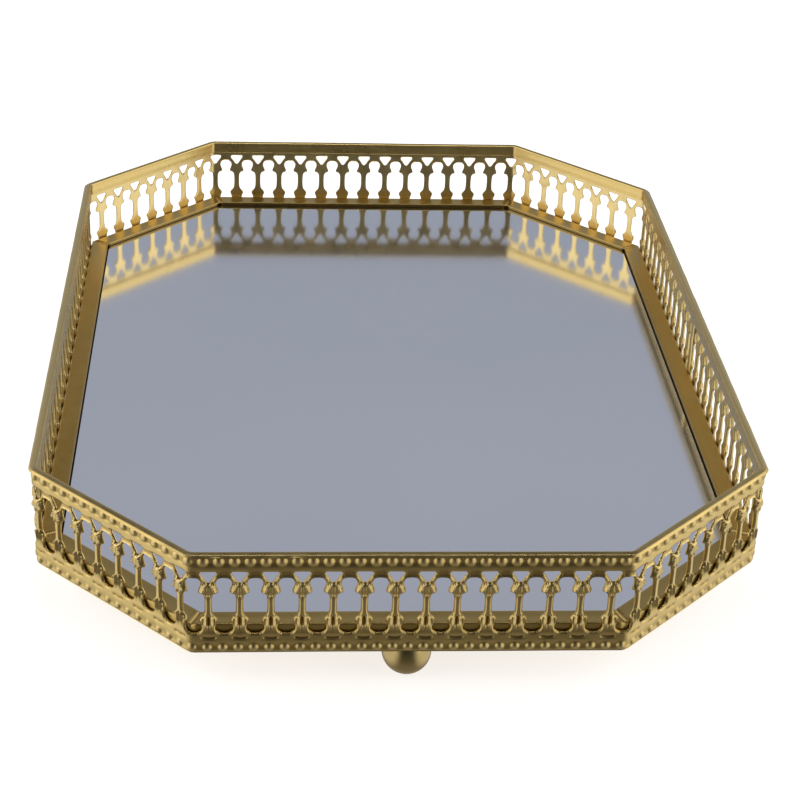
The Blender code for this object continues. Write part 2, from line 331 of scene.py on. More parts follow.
def satinGold(name, finish, reliefName=None, tarnish=0.25):
    # satin plated metal: cloudy color at two sizes, darker where the relief value is low (patina and painted
    # shade in the hollows), paler where it is high (wear from rubbing and painted highlight on edges and
    # tops), specks of tarnish, roughness that follows the clouds, and a fine orange-peel bump
    material, shader, add, link, vector = startMaterial(name)
    look = goldTexture
    clouds = noise(add, link, vector, *look["clouds"])
    mottle = noise(add, link, vector, *look["mottle"])
    grain = noise(add, link, vector, *look["grain"])
    color = mixColor(add, link, shaped(add, link, clouds, *look["cloudDeep"]),
                     finish["body"], finish["deep"])
    paleFactor = shaped(add, link, mottle, *look["mottlePale"])
    color = mixColor(add, link, paleFactor, color, finish["pale"])
    if reliefName:
        # where the relief value is low the color goes to deep, patina and painted shade; where it is high it
        # goes to pale, wear from rubbing and painted highlight
        relief = add("ShaderNodeAttribute", attribute_name=reliefName).outputs["Fac"]
        hollow = shaped(add, link, relief, *look["patinaAndShade"])
        color = mixColor(add, link, hollow, color, finish["deep"])
        wearAndPaintedHighlight = shaped(add, link, relief, *look["paleWearAndHighlight"])
        color = mixColor(add, link, wearAndPaintedHighlight, color, finish["pale"])
    specks = noise(add, link, vector, *look["specks"])
    speckFactor = shaped(add, link, specks, *look["speckFrom"], 0.0, tarnish)
    color = mixColor(add, link, speckFactor, color, look["speckColor"])
    link(color, shader.inputs["Base Color"])
    blotch = mathNode(add, link, "MULTIPLY", shaped(add, link, clouds, *look["cloudRough"]),
                      shaped(add, link, mottle, *look["mottleRough"], *finish["rough"]))
    link(blotch, shader.inputs["Roughness"])
    shader.inputs["Metallic"].default_value = 1.0
    bumpHeight = mathNode(add, link, "ADD", grain,
                          mathNode(add, link, "MULTIPLY", mottle, look["mottleBump"]))
    bump = add("ShaderNodeBump", in_Strength=look["bumpStrength"])
    bump.inputs["Distance"].default_value = finish["grain"] * mm
    link(bumpHeight, bump.inputs["Height"])
    link(bump.outputs["Normal"], shader.inputs["Normal"])
    return material


gallery = {
    "pitch": 8.3,             # mm between arches before they are spread evenly round the tray
    "columns": 26,            # grid columns in one pitch
    "rows": 96,               # grid rows from the strip's foot to its top
    "sheet": 0.45,            # mm
    "edgeRoll": 0.8,          # mm over which a surface rolls down to an opening
    "snap": 0.5,              # in cells: points nearer than this to an outline are set on it
    "blurSteps": 14,
    # the next entry shapes the value that makes hollows darker, patina and painted shade, and high places
    # paler, wear from rubbing and painted highlight
    "wearAndPaintedLightShaping": (0.5, 1.1, 0.45, 0.25),   # middle, gain, middle level, gain with level
    "uneven": 0.035,
    "unevenWaves": (11, 9, 0.021, 0.0035),     # seed, number, longest and shortest in m
    "unevenSlant": 0.7,
    "unevenLevel": 0.35,
    "lean": 0.05,             # mm
    "leanWaves": (12, 5, 0.16, 0.05),
    "rimRoom": 0.03 * mm,     # kept between the relief and the rim's outer face
    # the whole inner face takes this one high value, which paints it paler: painted light
    "innerFacePaintedSheen": 0.88,
    "sharpFrom": 62,          # degrees
    # half outlines of the two openings in mm, from the foot up
    "archHalf": [(0.0, 6.2), (1.1, 6.3), (1.95, 6.9), (2.3, 7.8), (2.15, 9.0), (1.7, 10.0), (1.6, 10.5),
                 (1.8, 11.0), (2.5, 11.6), (2.9, 12.1), (3.15, 13.2), (3.22, 15.5), (3.15, 17.8),
                 (2.9, 18.5), (2.55, 18.95), (1.7, 19.2), (1.45, 19.5), (1.5, 20.0), (1.8, 20.7),
                 (2.08, 21.4), (2.15, 22.2), (1.95, 23.0), (1.3, 23.65), (0.0, 23.85)],
    "forkHalf": [(0.0, 22.2), (0.2, 22.2), (0.55, 22.5), (1.5, 24.0), (2.35, 25.25), (2.35, 25.65),
                 (2.0, 25.75), (0.0, 25.75)],
    # rows of round caps: height, radius and peak in mm, trail under 1 draws a cap's lower half out
    # downwards, shift in shares of a pitch
    "beads": [{"height": 2.0, "radius": 1.35, "peak": 0.88, "trail": 1.0, "shift": -0.05},
              {"height": 28.95, "radius": 1.5, "peak": 0.90, "trail": 0.95, "shift": 0.34}],
}


def softenOutline(halfOutline, center):
    # mirrors a half outline and cuts its corners three times, a quarter off each end of an edge
    right = np.array(halfOutline)
    left = right[::-1] * [-1, 1]
    points = np.concatenate([right, left[1:-1]])
    for _ in range(3):
        following = np.roll(points, -1, axis=0)
        points = np.stack([points * 0.75 + following * 0.25,
                           points * 0.25 + following * 0.75], axis=1).reshape(-1, 2)
    return points + [center, 0]


def signedDistance(points, outline):
    # distance to a closed outline, positive outside it, and the nearest point on it
    start = outline[None, :, :]
    run = np.roll(outline, -1, axis=0)[None, :, :] - start
    offset = points[:, None, :] - start
    share = np.clip((offset * run).sum(-1) / np.maximum((run * run).sum(-1), 1e-12), 0, 1)
    nearest = start + run * share[..., None]
    distances = np.linalg.norm(points[:, None, :] - nearest, axis=-1)
    best = distances.argmin(1)
    pick = np.arange(len(points))
    startY, endY = start[..., 1], (start + run)[..., 1]
    crosses = (startY > points[:, None, 1]) != (endY > points[:, None, 1])
    rise = np.where(run[..., 1] == 0, 1e-12, run[..., 1])
    crossX = start[..., 0] + (points[:, None, 1] - startY) / rise * run[..., 0]
    inside = (crosses & (points[:, None, 0] < crossX)).sum(1) % 2 == 1
    return np.where(inside, -1, 1) * distances[pick, best], nearest[pick, best]


stamping = {
    # mm: levels over the sheet's base face, heights over the strip's foot, across from a baluster's
    # axis; a pair is where a step begins and ends
    "shaftLevel": 0.72,
    "headFoot": (19.0, 19.4),
    "headTop": (25.3, 25.7),
    "bellTip": 23.0,
    "bellRun": 3.7,
    "tipHalf": 1.0,
    "flareHalf": 1.5,
    "flarePower": 1.7,
    "bellEdge": (-0.25, 0.15),
    "bellFade": (21.9, 22.8),
    "bellLevel": 0.98,
    "fluteDepth": 0.16,
    "fluteSpan": 0.80,
    "fluteFade": (0.0, 0.5),
    "ribbon": (0.42, 0.34, 0.27),          # rise, distance from the arch, width
    "plateLevel": 0.22,
    # rise, across, width, height, reach; the ears' across is their distance from the arch
    "scrolls": (0.40, 0.72, 0.36, 18.6, 0.5),
    "collarDip": (0.24, 0.0, 0.3, 18.7, 0.9),
    "baseHollows": (0.30, 1.55, 0.45, 10.4, 1.0),
    "ears": (0.45, 0.32, 0.26, 10.8, 1.5),
    "keyFoot": (24.1, 24.5),
    "keyTop": (25.5, 25.8),
    "keySide": (1.2, 1.6),
    "keyDepth": 0.12,
    "baseFoot": (5.6, 7.4),
    "baseTop": (11.8, 12.4),
    "baseLevel": 0.50,
    "ridgeFade": (6.8, 10.0),
    "ridge": (0.55, 0.72, 0.36),           # rise, across, width
    "valley": (0.26, 0.0, 0.3),
    "earSide": (1.2, 1.9),
    "lowTop": (5.4, 6.8),
    "lowLevel": 0.46,
    "slitHeight": 4.75,
    "slitBow": 0.28,
    "slitDepth": 0.65,
    "slitWidth": 0.30,
    "slitSide": (1.6, 2.2),
    "topFoot": (25.75, 26.05),
    "topLevel": 0.56,
    "upperGround": (0.46, 27.3, 28.3),     # depth of the ground under the beads, where it begins, ends
    "lowerGround": (0.30, 2.0, 1.3),       # depth, height and width of the hollow round the lower row
    "capPower": 0.7,
    "footRoll": (0.75, 1.0),               # depth, reach
    # the plain inner face
    "innerThinning": (0.12, 0.35),         # depth, reach
    "innerPillow": (0.10, 0.1, 0.9),       # depth, from and to this relief
    "innerFootRoll": (0.4, 0.8),           # depth, reach
}


def swelling(across, height, rise, place, width, center, reach):
    # rise * bell across * bell up
    return rise * bell(across - place, width) * bell(height - center, reach)


def ridgeLine(across, rise, place, width):
    # rise * bell across
    return rise * bell(across - place, width)


def reliefHeight(across, height, toEdge, toArch):
    # height in mm of the stamped relief over the strip's base face, for distances across from the
    # nearest baluster's axis: bands, shaft, fluted head, forked arms, base with ears, beads and slit,
    # all let down to the sheet along every opening
    form = stamping
    b = np.abs(across)
    fromArch = tray["pitch"] / 2 - b
    level = form["shaftLevel"] * np.ones_like(b)
    # head: a narrow bell that flares to the ledge, with three flutes, over a lower plate whose
    # edge along the arch is a thin ribbon
    headZone = smoothStep(*form["headFoot"], height) * (1 - smoothStep(*form["headTop"], height))
    flare = np.clip((form["bellTip"] - height) / form["bellRun"], 0, 1)
    bellHalf = form["tipHalf"] + form["flareHalf"] * flare ** form["flarePower"]
    inEdge, outEdge = form["bellEdge"]
    onBell = 1 - smoothStep(bellHalf + inEdge, bellHalf + outEdge, b)
    onBell = onBell * (1 - smoothStep(*form["bellFade"], height))
    flutes = form["fluteDepth"] * np.cos(2 * math.pi * b / (bellHalf * form["fluteSpan"]))
    flutes = flutes * smoothStep(*form["fluteFade"], flare)
    plate = form["plateLevel"] + ridgeLine(toArch, *form["ribbon"])
    headLevel = plate + onBell * (form["bellLevel"] + flutes - plate)
    level = level + headZone * (headLevel - level)
    # collar scrolls where the shaft meets the head
    level = level + swelling(b, height, *form["scrolls"]) - swelling(b, height, *form["collarDip"])
    # keystone: a sunk place over each arch's crown
    keyZone = smoothStep(*form["keyFoot"], height) * (1 - smoothStep(*form["keyTop"], height))
    keyZone = keyZone * (1 - smoothStep(*form["keySide"], fromArch))
    level = level - keyZone * (level + form["keyDepth"])
    # base: twin ridges with a valley between, hollows beside them and curled ears
    baseZone = smoothStep(*form["baseFoot"], height) * (1 - smoothStep(*form["baseTop"], height))
    ridgeFade = smoothStep(*form["ridgeFade"], height)
    ridges = ridgeLine(b, *form["ridge"]) * ridgeFade
    hollow = swelling(b, height, *form["baseHollows"])
    ears = swelling(toArch, height, *form["ears"]) * smoothStep(*form["earSide"], b)
    valley = ridgeLine(b, *form["valley"]) * ridgeFade
    baseLevel = form["baseLevel"] + ridges - hollow + ears - valley
    level = level + baseZone * (baseLevel - level)
    # lower band, with the crescent slit under each base
    lowZone = 1 - smoothStep(*form["lowTop"], height)
    slitHeight = form["slitHeight"] + form["slitBow"] * (b / 2) ** 2
    slit = form["slitDepth"] * bell(height - slitHeight, form["slitWidth"])
    slit = slit * (1 - smoothStep(*form["slitSide"], b))
    lowLevel = form["lowLevel"] - slit
    level = level + lowZone * (lowLevel - level)
    # upper band steps out over the arches
    topZone = smoothStep(*form["topFoot"], height)
    level = level + topZone * (form["topLevel"] - level)
    roll = np.clip(toEdge / gallery["edgeRoll"], 0, 1)
    level = level * np.sqrt(1 - (1 - roll) ** 2)
    # beads: round caps, two to a pitch, on ground that sinks away from the plain bands
    depth, begin, end = form["upperGround"]
    level = level - depth * smoothStep(begin, end, height) - ridgeLine(height, *form["lowerGround"])
    for row in gallery["beads"]:
        step = tray["pitch"] / 2
        beadAcross = (across - row["shift"] * tray["pitch"] + step / 2) % step - step / 2
        beadUp = (height - row["height"]) * np.where(height < row["height"], row["trail"], 1)
        distance = np.hypot(beadAcross, beadUp) / row["radius"]
        cap = row["peak"] * np.clip(1 - distance ** 2, 0, 1) ** form["capPower"]
        level = np.maximum(level, cap)
    # the foot edge is rolled inwards
    depth, reach = form["footRoll"]
    return level - depth * (1 - np.clip(height / reach, 0, 1)) ** 2


def innerDepth(relief, toEdge, height):
    # depth in mm of the plain inner face under the base face: the sheet, drawn in a little behind the
    # high places and rounded off towards every opening and the strip's foot
    thinDepth, thinReach = stamping["innerThinning"]
    thinning = 1 - np.sqrt(1 - (1 - np.clip(toEdge / thinReach, 0, 1)) ** 2)
    pillowDepth, low, high = stamping["innerPillow"]
    pillow = pillowDepth * smoothStep(low, high, relief)
    rollDepth, rollReach = stamping["innerFootRoll"]
    footRoll = rollDepth * (1 - np.clip(height / rollReach, 0, 1)) ** 2
    return gallery["sheet"] - pillow - thinDepth * thinning - footRoll


def makeTile():
    # one pitch of the strip as a grid: column and row give place across and height; points near an
    # opening's outline are set on it, and cells inside an opening are left out
    columns, rows = gallery["columns"], gallery["rows"]
    pitch = tray["pitch"]
    across = (np.arange(columns) / columns - 0.5) * pitch
    stripHeight = (tray["stripTop"] - tray["stripFoot"]) / mm
    height = np.linspace(0, stripHeight, rows)
    cell = max(pitch / columns, stripHeight / (rows - 1))
    acrossGrid, heightGrid = np.meshgrid(across, height, indexing="ij")
    points = np.stack([acrossGrid.ravel(), heightGrid.ravel()], axis=1)
    arch, archNearest = signedDistance(points, softenOutline(gallery["archHalf"], 0))
    distance, nearest = arch.copy(), archNearest.copy()
    for center in (-pitch, pitch):
        other, otherNearest = signedDistance(points, softenOutline(gallery["archHalf"], center))
        arch = np.minimum(arch, other)
        closer = other < distance
        distance = np.where(closer, other, distance)
        nearest = np.where(closer[:, None], otherNearest, nearest)
    for center in (-pitch / 2, pitch / 2):
        other, otherNearest = signedDistance(points, softenOutline(gallery["forkHalf"], center))
        closer = other < distance
        distance = np.where(closer, other, distance)
        nearest = np.where(closer[:, None], otherNearest, nearest)
    close = np.abs(distance) <= gallery["snap"] * cell
    points = np.where(close[:, None], nearest, points)
    distance = np.where(close, 0, distance)
    fromBaluster = (points[:, 0] % pitch) - pitch / 2
    relief = reliefHeight(fromBaluster, points[:, 1], np.maximum(distance, 0), np.maximum(arch, 0))
    shape = (columns, rows)
    toEdge = np.maximum(distance, 0).reshape(shape)
    relief = relief.reshape(shape)
    # how far a place stands over its surroundings, for the darker color in the hollows, patina and painted
    # shade, and the paler color on the edges, wear from rubbing and painted highlight
    around = relief.copy()
    for _ in range(gallery["blurSteps"]):
        around = (around + np.roll(around, 1, 0) + np.roll(around, -1, 0)
                  + np.roll(around, 1, 1) + np.roll(around, -1, 1)) / 5
    middle, gain, middleLevel, levelGain = gallery["wearAndPaintedLightShaping"]
    wearAndPaintedLight = np.clip(middle + (relief - around) * gain + (relief - middleLevel) * levelGain, 0, 1)
    return {
        "shift": points[:, 0].reshape(shape) - acrossGrid,
        "height": points[:, 1].reshape(shape),
        "relief": relief,
        "depth": innerDepth(around, toEdge, points[:, 1].reshape(shape)),
        "wearAndPaintedLight": wearAndPaintedLight,
        "solid": (distance >= 0).reshape(shape),
    }


def cellFaces(solid, rows):
    # quads where all four corners are metal, and a triangle where exactly three are
    a, b = solid[:-1, :-1], solid[1:, :-1]
    c, d = solid[1:, 1:], solid[:-1, 1:]
    column, row = np.meshgrid(np.arange(solid.shape[0] - 1), np.arange(rows - 1), indexing="ij")
    first = column * rows + row
    corner = [first, first + rows, first + rows + 1, first + 1]
    flags = [a, b, c, d]
    count = a.astype(int) + b + c + d
    quads = np.stack([k[count == 4] for k in corner], axis=1)
    triangles = []
    for missing in range(4):
        here = (count == 3) & ~flags[missing]
        keep = [corner[(missing + step) % 4][here] for step in (1, 2, 3)]
        triangles.append(np.stack(keep, axis=1))
    return quads, np.concatenate(triangles)


def closeSheet(quads, triangles, count):
    # outer faces, the same faces turned over for the inner side, and a quad along each free edge, which
    # is a directed edge that no other face runs the other way
    edges = np.concatenate([np.stack([quads, np.roll(quads, -1, axis=1)], axis=-1).reshape(-1, 2),
                            np.stack([triangles, np.roll(triangles, -1, axis=1)], axis=-1).reshape(-1, 2)])
    forward = edges[:, 0].astype(np.int64) * count + edges[:, 1]
    backward = edges[:, 1].astype(np.int64) * count + edges[:, 0]
    free = edges[~np.isin(forward, backward)]
    a, b = free[:, 0], free[:, 1]
    walls = np.stack([b, a, a + count, b + count], axis=1)
    return [quads, triangles, quads[:, ::-1] + count, triangles[:, ::-1] + count, walls]


def makeGallery(material):
    # the tile repeated round the wall and bent with it, one piece from bend to bend
    tray["pitch"] = path["total"] / round(path["total"] / (gallery["pitch"] * mm)) / mm
    tile = makeTile()
    columns, rows = gallery["columns"], gallery["rows"]
    step = tray["pitch"] * mm / columns
    for number, side in enumerate(sides):
        bendBefore = path["starts"][number * 2] - path["lengths"][number * 2 - 1] / 2
        bendAfter = path["starts"][number * 2 + 1] + path["lengths"][number * 2 + 1] / 2
        first = round((bendBefore + tray["pitch"] * mm / 2) / step)
        last = round((bendAfter + tray["pitch"] * mm / 2) / step)
        column = np.arange(first, last + 1)
        inTile = column % columns
        along = (column * step - tray["pitch"] * mm / 2)[:, None] + tile["shift"][inTile] * mm
        height = tile["height"][inTile]
        slanted = along + height * mm * gallery["unevenSlant"]
        uneven = gallery["uneven"] * wobble(slanted, *gallery["unevenWaves"])
        relief = tile["relief"][inTile] * (1 + uneven) + gallery["unevenLevel"] * uneven
        lean = gallery["lean"] * wobble(along, *gallery["leanWaves"]) * mm
        z = tray["stripFoot"] + height * mm
        quads, triangles = cellFaces(tile["solid"][inTile], rows)
        used, renumber = np.unique(np.concatenate([quads.ravel(), triangles.ravel()]), return_inverse=True)
        quads = renumber[:quads.size].reshape(-1, 4)
        triangles = renumber[quads.size:].reshape(-1, 3)
        layers = []
        outer = np.minimum(relief * mm + lean, wallPath["inset"] - gallery["rimRoom"])
        for outward in (outer, lean - tile["depth"][inTile] * mm):
            x, y = alongWall(along, outward)
            layers.append(np.stack([x.ravel(), y.ravel(), z.ravel()], axis=1)[used])
        faces = closeSheet(quads, triangles, len(used))
        # the inner face takes one high value throughout, which paints it paler as painted light
        wearAndPaintedLight = tile["wearAndPaintedLight"][inTile].ravel()[used]
        attributes = {"wearAndPaintedLight": np.concatenate([wearAndPaintedLight, np.full(len(used), gallery["innerFacePaintedSheen"])])}
        piece = newPiece("pierced_strip_" + side, np.concatenate(layers), faces, material, attributes)
        piece.data.set_sharp_from_angle(angle=math.radians(gallery["sharpFrom"]))
        placePiece(piece, "gallery_gold", "gallery_" + side)
    print("gallery:", round(path["total"] / mm / tray["pitch"]), "arches")


lap = {"columns": 30, "rows": 60, "crown": 0.45, "corner": 5, "ripple": 0.05,
       "rippleWaves": (5, 4, 0.012, 0.004), "wearAndPaintedLight": 0.55}


def makeLap(material):
    # a flat bar on the inner face: its height is crown * (1 - |u|^n) * (1 - |v|^6n), with a flat back
    low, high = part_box("gallery_lap")
    u, v = np.meshgrid(np.linspace(-1, 1, lap["columns"]), np.linspace(-1, 1, lap["rows"]), indexing="ij")
    swell = (1 - np.abs(u) ** lap["corner"]) * (1 - np.abs(v) ** (lap["corner"] * 6))
    y = u * (high.y - low.y) / 2
    z = (low.z + high.z) / 2 + v * (high.z - low.z) / 2
    ripple = lap["ripple"] * wobble(z, *lap["rippleWaves"])
    x = high.x - (swell * (lap["crown"] + ripple) * mm)
    back = np.full_like(x, high.x)
    front = np.stack([x, y, z], axis=-1).reshape(-1, 3)
    rear = np.stack([back, y, z], axis=-1).reshape(-1, 3)
    faces = gridFaces(lap["columns"], lap["rows"])
    points = np.concatenate([front, rear])
    allFaces = np.concatenate([faces[:, ::-1], faces + len(front)])
    wearAndPaintedLight = np.full(len(points), lap["wearAndPaintedLight"])
    piece = newPiece("strip_lap", points, [allFaces], material, {"wearAndPaintedLight": wearAndPaintedLight})
    closeSeams(piece)
    placePiece(piece, "gallery_gold", "gallery_lap")


def closeSeams(piece, reach=0.002):
    # merges points that lie on each other and turns the faces outwards
    build = bmesh.new()
    build.from_mesh(piece.data)
    bmesh.ops.remove_doubles(build, verts=build.verts, dist=reach * mm)
    bmesh.ops.recalc_face_normals(build, faces=build.faces)
    build.to_mesh(piece.data)
    build.free()
    piece.data.shade_smooth()


rim = {
    "lip": 1.2,               # mm that the outer edge hangs down
    "outerRound": 0.95,
    "innerRound": 0.85,
    "wall": 0.45,
    "edge": 0.2,              # roundness of both free edges
    "slope": 0.46,            # that the top falls from its inner to its outer side
    "spacing": 1.1 * mm,      # between sections on the straights
    "arcSections": 10,
    "legBow": 0.10,           # that the inner leg is drawn in at its middle
    "bottomDrops": (-1.3, -0.3),           # between these drops the slope sets in
    # seed, number, longest and shortest in m, and the height that a sum of sines is divided by
    "sink": 0.05, "sinkWaves": (21, 7, 0.10, 0.02), "sinkShare": 2.6,
    "press": 0.045, "pressWaves": (22, 9, 0.05, 0.008), "pressShare": 3, "innerPress": 0.6,
    "lipRise": 0.16, "lipWaves": (23, 12, 0.03, 0.006), "lipShare": 2.5,
    "lipDrops": (-0.5, -1.2), "lipInset": 0.6,
    # notches in the front lip: place and reach along the wall in m, size in mm
    "notches": [(-0.031, 0.35, 0.0016), (0.022, 0.2, 0.0012), (-0.052, 0.3, 0.001)],
    # the next entry makes the middle of the section's top paler, a painted highlight, and its lip and leg
    # darker, a painted shade
    "wearAndPaintedLightShaping": (0.55, 0.25, 5),          # middle, gain, turns across the width
}


def arcPoints(centerAcross, centerUp, radius, fromDegrees, toDegrees, count):
    # center + radius * (cosine, sine) at even turns
    turns = np.radians(np.linspace(fromDegrees, toDegrees, count))
    return np.stack([centerAcross + radius * np.cos(turns), centerUp + radius * np.sin(turns)], axis=1)


def rimSection():
    # closed section of (inset, drop) in mm, up the lip, over the top, down the inner leg and back inside
    width = tray["rimWidth"] / mm
    depth = (tray["rimTop"] - tray["rimFoot"]) / mm
    outer, inner, wall, edge = rim["outerRound"], rim["innerRound"], rim["wall"], rim["edge"]
    lipBottom = arcPoints(edge, -rim["lip"] + edge, edge, 360, 180, 7)
    over = arcPoints(outer, -outer, outer, 180, 90, 12)
    top = np.stack([np.linspace(outer, width - inner, 5)[1:-1], np.full(3, 0.0)], axis=1)
    down = arcPoints(width - inner, -inner, inner, 90, 0, 12)
    leg = np.stack([np.full(8, width), np.linspace(-inner, -depth + edge, 9)[1:]], axis=1)
    leg[:, 0] -= rim["legBow"] * np.sin(np.linspace(0, math.pi, 8)) ** 2
    legBottom = arcPoints(width - edge, -depth + edge, edge, 0, -180, 7)[1:]
    insideUp = np.stack([np.full(4, width - wall), np.linspace(-depth + 2 * edge, -wall - 0.3, 4)], axis=1)
    insideTop = np.array([[width - wall - 0.3, -wall], [wall + 0.3, -wall], [wall, -wall - 0.2]])
    section = np.concatenate([lipBottom, over, top, down, leg, legBottom, insideUp, insideTop])
    upper = smoothStep(*rim["bottomDrops"], section[:, 1])
    section[:, 1] -= rim["slope"] * (1 - section[:, 0] / width) * upper
    return section


def rimStations():
    # distances along the wall: even steps on each straight, closer ones round each bend
    stations = []
    for number in range(16):
        start, length = path["starts"][number], path["lengths"][number]
        count = rim["arcSections"] if number % 2 else max(2, round(length / rim["spacing"]))
        stations.append(start + length * np.arange(count) / count)
    return np.concatenate(stations)


def makeRim(material):
    # the section carried round the wall; the top sinks and the lip wanders a little with distance
    section = rimSection()
    stations = rimStations()
    along, inset = np.meshgrid(stations, section[:, 0], indexing="ij")
    drop = np.broadcast_to(section[:, 1], along.shape)
    width = tray["rimWidth"] / mm
    sink = rim["sink"] * (1 + wobble(along, *rim["sinkWaves"]) / rim["sinkShare"])
    press = rim["press"] * (1 + wobble(along, *rim["pressWaves"]) / rim["pressShare"])
    lipShare = smoothStep(*rim["lipDrops"], drop) * (inset < rim["lipInset"])
    lipRise = lipShare * rim["lipRise"] * (1 + wobble(along, *rim["lipWaves"]) / rim["lipShare"])
    for place, size, reach in rim["notches"]:
        lipRise = lipRise + lipShare * size * bell(along - place, reach)
    press = np.maximum(press, 0)
    inward = np.where(inset < width / 2, press, -press * rim["innerPress"])
    outward = wallPath["inset"] - (inset + inward) * mm
    x, y = alongWall(along, outward)
    z = tray["rimTop"] + (drop - sink + lipRise) * mm
    points = np.stack([x, y, z], axis=-1).reshape(-1, 3)
    faces = gridFaces(len(stations), len(section), True, True)
    # high across the top of the section and low down the lip and leg: painted highlight on the top, painted
    # shade on the sides
    middle, gain, turns = rim["wearAndPaintedLightShaping"]
    rimSheenAndShade = np.clip(middle + gain * np.cos((inset / width - 0.5) * turns), 0, 1)
    piece = newPiece("folded_rim", points, [faces], material, {"wearAndPaintedLight": rimSheenAndShade.ravel()})
    closeSeams(piece)
    placePiece(piece, "rim_gold", "top_rim")
    print("rim:", len(stations), "sections")


flange = {
    "sheet": 0.5,
    "outerFold": 0.55,
    "innerFold": 0.18,
    "hemBelowGlass": 0.2,
    "spacing": 2.0 * mm,
    "mitreGap": 0.05 * mm,
    "flatDrops": (-0.9, -0.2),
    "wave": 0.045, "waveSeed": 31, "waves": (8, 0.11, 0.02), "waveShare": 2.8, "waveSlant": 0.0006,
    "sag": 0.07, "sagFrom": 2.1, "sagSpan": 5.9,
    # painted highlight lines along the folds, by distance across: middle, then rise, place and width of each
    # line
    "wearAndPaintedHighlight": 0.5, "innerHighlightLine": (0.15, 7.6, 0.25), "outerHighlightLine": (0.15, 2.5, 0.3),
    # from these places across and these drops down the value falls to nothing, so the hem down to the glass
    # takes the dark deep tone: painted shade
    "hemFrom": (7.5, 7.9), "hemDrops": (-0.08, -0.3),
}


def flangeSection():
    # open outer face of (inset, height) in mm: up the outer leg, over the flat and down the hem
    outer = tray["frameOuter"] / mm
    inner = tray["frameInner"] / mm
    foot = (tray["frameFoot"] - tray["frameTop"]) / mm
    leg = np.stack([np.full(5, outer), np.linspace(foot, -flange["outerFold"], 6)[:-1]], axis=1)
    fold = arcPoints(outer + flange["outerFold"], -flange["outerFold"], flange["outerFold"], 180, 90, 8)
    flat = np.linspace(outer + flange["outerFold"], inner - flange["innerFold"], 12)[1:-1]
    flat = np.stack([flat, np.zeros(10)], axis=1)
    innerFold = arcPoints(inner - flange["innerFold"], -flange["innerFold"], flange["innerFold"], 90, 0, 8)
    hemFoot = (tray["glassTop"] - tray["frameTop"]) / mm - flange["hemBelowGlass"]
    hem = np.stack([np.full(4, inner), np.linspace(-flange["innerFold"], hemFoot, 5)[1:]], axis=1)
    return np.concatenate([leg, fold, flat, innerFold, hem])


def makeFrame(material):
    # each length runs straight between two mitre planes, so every section point moves from its near
    # corner to its far corner; the flat dips and waves by less than a tenth of a millimetre
    section = flangeSection()
    insets = section[:, 0] * mm
    for number, side in enumerate(sides):
        near = np.array([planCorners(inset)[number] for inset in insets])
        far = np.array([planCorners(inset)[(number + 1) % 8] for inset in insets])
        direction = (far[0] - near[0]) / np.linalg.norm(far[0] - near[0])
        near = near + direction * flange["mitreGap"]
        far = far - direction * flange["mitreGap"]
        count = max(3, round(np.linalg.norm(far[0] - near[0]) / flange["spacing"]))
        share = np.linspace(0, 1, count + 1)[:, None, None]
        plan = near[None] + (far - near)[None] * share
        along = plan @ direction
        width = section[:, 0][None, :]
        flatness = smoothStep(*flange["flatDrops"], section[:, 1])[None, :]
        slanted = along + width * flange["waveSlant"]
        waves = wobble(slanted, flange["waveSeed"] + number, *flange["waves"])
        wave = flange["wave"] * (1 + waves / flange["waveShare"])
        acrossFlat = np.clip((width - flange["sagFrom"]) / flange["sagSpan"], 0, 1)
        sag = flange["sag"] * np.sin(math.pi * acrossFlat) ** 2
        z = tray["frameTop"] + (section[:, 1][None, :] - flatness * (wave + sag)) * mm
        points = np.concatenate([plan, z[..., None]], axis=-1).reshape(-1, 3)
        faces = gridFaces(count + 1, len(section))
        # the value rises in thin lines along both folds, a painted highlight, and falls to nothing on the
        # hem, a painted shade
        wearAndPaintedHighlight = flange["wearAndPaintedHighlight"] + ridgeLine(width, *flange["innerHighlightLine"])
        wearAndPaintedHighlight = wearAndPaintedHighlight + ridgeLine(width, *flange["outerHighlightLine"])
        hemSide = smoothStep(*flange["hemDrops"], section[:, 1])[None, :]
        hemShadeMask = smoothStep(*flange["hemFrom"], width) * hemSide
        flangeSheenAndShade = np.broadcast_to(wearAndPaintedHighlight * (1 - hemShadeMask), z.shape)
        piece = newPiece("mitred_flange_" + side, points, [faces], material, {"wearAndPaintedLight": flangeSheenAndShade.ravel()})
        thicken(piece, flange["sheet"] * mm)
        placePiece(piece, "frame_gold", "frame_" + side)
    print("frame: eight mitred lengths")


mirror = {
    "arris": 0.12, "arrisDrop": 0.12,
    # hairlines: turn in radians, length in mm, level of the noise above which they show, shift in m
    "scratches": [(0.5, 11.0, 0.80, 0.013), (-0.72, 7.0, 0.79, 0.31), (1.15, 12.0, 0.80, 0.57),
                  (2.5, 6.0, 0.79, 0.83), (1.9, 16.0, 0.80, 0.21)],
    "scratchWidth": 0.22, "scratchSoftness": 0.04, "scratchStrength": 0.42,
    "scratchSpread": (0.50, 0.64, 0.04, 1.0),
    "dotScale": 150.0, "dotSize": (0.05, 0.03), "dotSpread": (0.6, 0.66), "dotStrength": 0.4,
    "silver": (0.83, 0.86, 0.915), "haze": (0.855, 0.88, 0.93), "mark": (0.95, 0.96, 0.98),
    "rough": (0.11, 0.5), "metal": (1.0, 0.4),         # clean, marked
}


